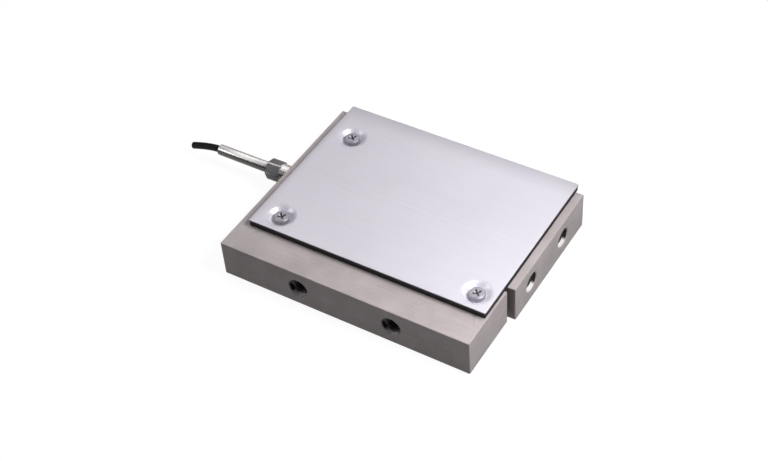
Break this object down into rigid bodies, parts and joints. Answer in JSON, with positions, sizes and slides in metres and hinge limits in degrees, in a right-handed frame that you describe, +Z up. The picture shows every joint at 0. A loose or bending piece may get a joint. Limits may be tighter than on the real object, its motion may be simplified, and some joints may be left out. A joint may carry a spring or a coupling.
{
  "type": "three-beam load cell",
  "caption": "Flat steel load cell: parallel sensing beams freed by a slot, dimpled cover plate on a black gasket, threaded mounting faces, and a cable gland with a long sleeve.",
  "frame": {"origin": "on the underside, below the middle of the block and its cover", "axes": "+X along the front bar towards the load end, +Y from the front face to the back, +Z up"},
  "size_m": [0.2494, 0.136, 0.0297],
  "materials": {
    "block_steel": "satin ground, nickel plated",
    "cover_sheet": "fine brushed",
    "screw_steel": "zinc plated",
    "gland_nickel": "bright nickel plated",
    "seal_rubber": "matte black",
    "cable_jacket": "semi-matte black",
    "gauge_backing": "amber film with metal foil",
    "gauge_silicone": "milky, soft gloss",
    "terminal_copper": "tinned copper pads",
    "board_laminate": "green solder mask",
    "resistor_body": "lacquered",
    "lead_film": "amber film over copper tracks",
    "core_red": "insulation",
    "core_black": "insulation",
    "core_green": "insulation",
    "core_white": "insulation"
  },
  "bodies": {
    "root": {"cable": "cable_jacket", "core_wire_black": "core_black", "core_wire_green": "core_green", "core_wire_red": "core_red", "core_wire_white": "core_white", "cover_gasket": "seal_rubber", "cover_plate": "cover_sheet", "cover_screws": "screw_steel", "gauge_coating_back_load": "gauge_silicone", "gauge_coating_back_root": "gauge_silicone", "gauge_coating_front_load": "gauge_silicone", "gauge_coating_front_root": "gauge_silicone", "gauge_lead_back_load": "lead_film", "gauge_lead_back_root": "lead_film", "gauge_lead_front_load": "lead_film", "gauge_lead_front_root": "lead_film", "gauge_terminal_back_load": "terminal_copper", "gauge_terminal_back_root": "terminal_copper", "gauge_terminal_front_load": "terminal_copper", "gauge_terminal_front_root": "terminal_copper", "gland_body": "gland_nickel", "gland_bush": "seal_rubber", "gland_seal_ring": "seal_rubber", "gland_sleeve": "gland_nickel", "span_resistor_back": "resistor_body", "span_resistor_front": "resistor_body", "spring_element": "block_steel", "strain_gauge_back_load": "gauge_backing", "strain_gauge_back_root": "gauge_backing", "strain_gauge_front_load": "gauge_backing", "strain_gauge_front_root": "gauge_backing", "terminal_board": "board_laminate", "zero_resistor": "resistor_body"}
  },
  "joints": []
}
